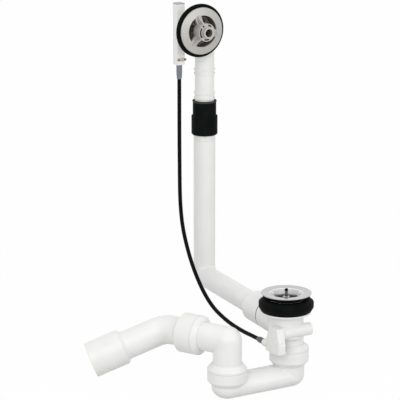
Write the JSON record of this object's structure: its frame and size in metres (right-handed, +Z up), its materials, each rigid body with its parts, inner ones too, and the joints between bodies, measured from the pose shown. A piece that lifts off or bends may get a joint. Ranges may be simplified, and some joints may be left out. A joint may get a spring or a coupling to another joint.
{
  "type": "bath waste and overflow",
  "caption": "Bath waste and overflow set: cable-operated lift-pin waste, overflow head with rack and pinion, overflow pipe and flat push-fit trap with an angled outlet.",
  "frame": {"origin": "centre of the waste hole, on the top of the bath floor", "axes": "+Z up out of the waste, -Y the way the overflow head faces into the bath, -X the way the trap runs off"},
  "size_m": [0.2921, 0.3185, 0.5057],
  "materials": {
    "white_plastic": "satin",
    "chrome_plate": "polished",
    "black_rubber": "matte",
    "grey_plastic": "matte",
    "slate_plastic": "matte",
    "steel": "satin",
    "brass": "satin",
    "black_sheath": "satin",
    "satin_grey_plastic": "satin"
  },
  "bodies": {
    "fixed": {"waste_flange": "chrome_plate", "flange_gasket": "black_rubber", "lower_seal": "black_rubber", "waste_body": "white_plastic", "lever_box_cover": "white_plastic", "lower_ferrule": "slate_plastic", "bowden_cable": "black_sheath", "upper_ferrule": "slate_plastic", "cable_clip": "brass", "rack_housing_cap": "grey_plastic", "overflow_body": "white_plastic", "overflow_face_ring": "satin_grey_plastic", "overflow_seal": "black_rubber", "rubber_sleeve": "black_rubber", "overflow_pipe": "white_plastic", "branch_lip_seal": "black_rubber", "inlet_socket_ring": "white_plastic", "inlet_lip_seal": "black_rubber", "trap_u_bend": "white_plastic", "riser_socket_ring": "white_plastic", "riser_lip_seal": "black_rubber"},
    "spindle": {"drive_spindle": "grey_plastic"},
    "rack": {"rack": "grey_plastic", "upper_wire": "steel"},
    "wire": {"lower_wire": "steel"},
    "lever": {"lever_shaft": "brass", "lift_arm": "grey_plastic", "crank_arm": "grey_plastic", "shaft_o_rings": "black_rubber"},
    "pin": {"lift_pin": "steel", "pin_tip": "black_rubber"},
    "elbow": {"trap_elbow": "white_plastic"},
    "outlet": {"outlet_bend": "white_plastic", "arm_socket_ring": "white_plastic", "arm_lip_seal": "black_rubber"}
  },
  "joints": [
    {"name": "spindle_turn", "type": "hinge", "parent": "fixed", "child": "spindle", "pos_m": [0, 0.261, 0.335], "axis": [0, -1, 0], "range_deg": [0, 90]},
    {"name": "rack_slide", "type": "slide", "parent": "fixed", "child": "rack", "axis": [0, 0, 1], "range_m": [-0.0127, 0]},
    {"name": "wire_slide", "type": "slide", "parent": "fixed", "child": "wire", "axis": [0, 1, 0], "range_m": [-0.0127, 0]},
    {"name": "lever_turn", "type": "hinge", "parent": "fixed", "child": "lever", "pos_m": [0, -0.01949, -0.0465], "axis": [1, 0, 0], "range_deg": [-36.7, 0]},
    {"name": "pin_lift", "type": "slide", "parent": "fixed", "child": "pin", "axis": [0, 0, 1], "range_m": [-0.0127, 0]},
    {"name": "riser_swivel", "type": "hinge", "parent": "fixed", "child": "elbow", "pos_m": [-0.095, 0, -0.0916], "axis": [0, 0, 1], "range_deg": [-10, 120]},
    {"name": "outlet_swivel", "type": "hinge", "parent": "elbow", "child": "outlet", "pos_m": [-0.095, 0, -0.0497], "axis": [-0.4633, 0.8862, 0], "range_deg": [-58, 31]}
  ],
  "couplings": [
    {"joint": "rack_slide", "follows": "spindle_turn", "m_per_rad": -0.008},
    {"joint": "wire_slide", "follows": "spindle_turn", "m_per_rad": -0.008},
    {"joint": "lever_turn", "follows": "spindle_turn", "ratio": -0.40664},
    {"joint": "pin_lift", "follows": "spindle_turn", "m_per_rad": -0.0079952}
  ]
}
